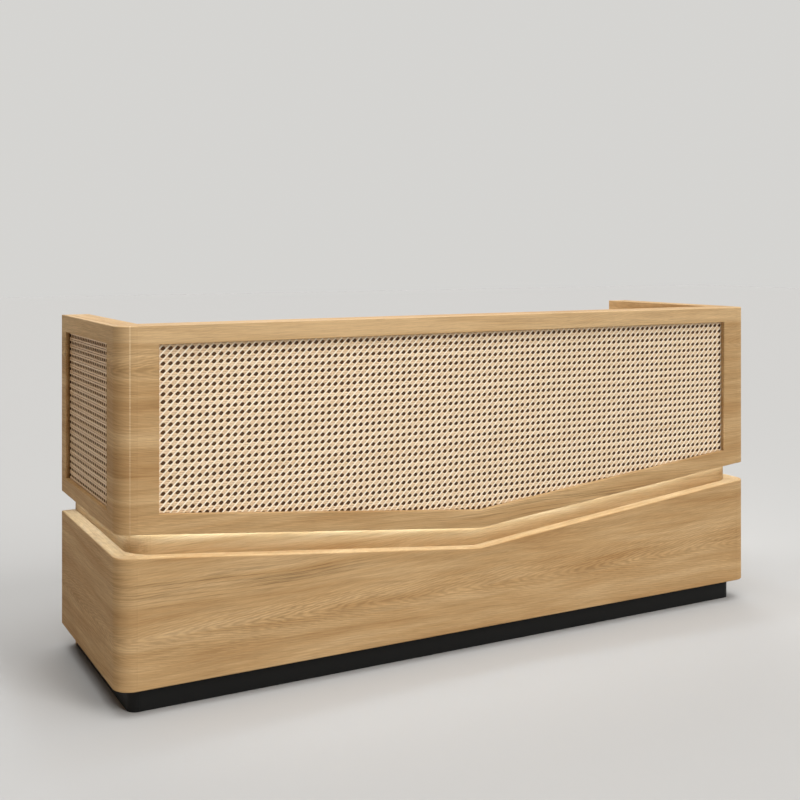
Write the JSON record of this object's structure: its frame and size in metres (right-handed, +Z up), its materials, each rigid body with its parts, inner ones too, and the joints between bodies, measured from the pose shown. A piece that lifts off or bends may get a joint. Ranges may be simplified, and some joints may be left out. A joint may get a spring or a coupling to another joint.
{
  "type": "reception desk",
  "caption": "Oak-veneered reception desk, U-shaped in plan, with a lit V-shaped groove between its casings, cane panels, a black plinth, and drawers and a cupboard on the staff side.",
  "frame": {"origin": "on the floor, under the middle of the desk's bounding box", "axes": "+X to the right along the desk's length as a visitor sees it, +Y from the visitor's side to the staff side, +Z up"},
  "size_m": [2.4, 0.7, 1.1],
  "materials": {
    "oak_veneer": "light oak veneer, fine straight grain, satin clear lacquer",
    "plinth_laminate": "black laminate, low sheen",
    "cane_webbing": "woven natural cane, pale, slightly glossy strands",
    "stained_backing": "thin board stained dark brown, matt",
    "opal_diffuser": "opal diffuser over warm white lights",
    "white_plastic": "white moulded plastic, fine texture",
    "black_plastic": "black moulded plastic, satin",
    "birch_ply": "birch plywood, clear matt lacquer",
    "satin_steel": "satin steel, fine brushing"
  },
  "bodies": {
    "desk": {"plinth_front": "plinth_laminate", "plinth_left": "plinth_laminate", "plinth_right": "plinth_laminate", "plinth_rear_left": "plinth_laminate", "plinth_rear_right": "plinth_laminate", "core_front": "oak_veneer", "core_left": "oak_veneer", "core_right": "oak_veneer", "lower_front_panel": "oak_veneer", "lower_left_panel": "oak_veneer", "lower_right_panel": "oak_veneer", "upper_front_panel": "oak_veneer", "upper_left_panel": "oak_veneer", "upper_right_panel": "oak_veneer", "cane_front": "cane_webbing", "cane_left": "cane_webbing", "cane_right": "cane_webbing", "cane_backing_front": "stained_backing", "cane_backing_left": "stained_backing", "cane_backing_right": "stained_backing", "led_strip": "opal_diffuser", "led_driver": "white_plastic", "top_cap_front": "oak_veneer", "top_cap_left": "oak_veneer", "top_cap_right": "oak_veneer", "lining_front": "oak_veneer", "lining_left": "oak_veneer", "lining_right": "oak_veneer", "worktop": "oak_veneer", "grommet_left": "black_plastic", "grommet_right": "black_plastic", "drawer_unit_side": "oak_veneer", "drawer_unit_base": "oak_veneer", "lock_keeper": "satin_steel", "cupboard_side": "oak_veneer", "cupboard_base": "oak_veneer", "cupboard_shelf": "oak_veneer", "runner_top_left": "satin_steel", "runner_top_right": "satin_steel", "runner_middle_left": "satin_steel", "runner_middle_right": "satin_steel", "runner_bottom_left": "satin_steel", "runner_bottom_right": "satin_steel", "hinge_frame_leaf": "satin_steel", "hinge_pin": "satin_steel"},
    "drawer_top": {"drawer_top_front": "oak_veneer", "drawer_top_box": "birch_ply", "drawer_top_knob": "satin_steel"},
    "drawer_middle": {"drawer_middle_front": "oak_veneer", "drawer_middle_box": "birch_ply", "drawer_middle_knob": "satin_steel"},
    "drawer_bottom": {"drawer_bottom_front": "oak_veneer", "drawer_bottom_box": "birch_ply", "drawer_bottom_knob": "satin_steel"},
    "lock": {"drawer_lock": "satin_steel"},
    "door": {"cupboard_door": "oak_veneer", "door_knob": "satin_steel", "hinge_door_leaf": "satin_steel"}
  },
  "joints": [
    {"name": "drawer_top_slide", "type": "slide", "parent": "desk", "child": "drawer_top", "axis": [0, 1, 0], "range_m": [0, 0.38]},
    {"name": "drawer_middle_slide", "type": "slide", "parent": "desk", "child": "drawer_middle", "axis": [0, 1, 0], "range_m": [0, 0.38]},
    {"name": "drawer_bottom_slide", "type": "slide", "parent": "desk", "child": "drawer_bottom", "axis": [0, 1, 0], "range_m": [0, 0.38]},
    {"name": "lock_turn", "type": "hinge", "parent": "drawer_top", "child": "lock", "pos_m": [-0.72, 0.33, 0.702], "axis": [0, 1, 0], "range_deg": [0, 90]},
    {"name": "door_swing", "type": "hinge", "parent": "desk", "child": "door", "pos_m": [1.1057, 0.33, 0.405], "axis": [0, 0, -1], "range_deg": [0, 95]}
  ]
}
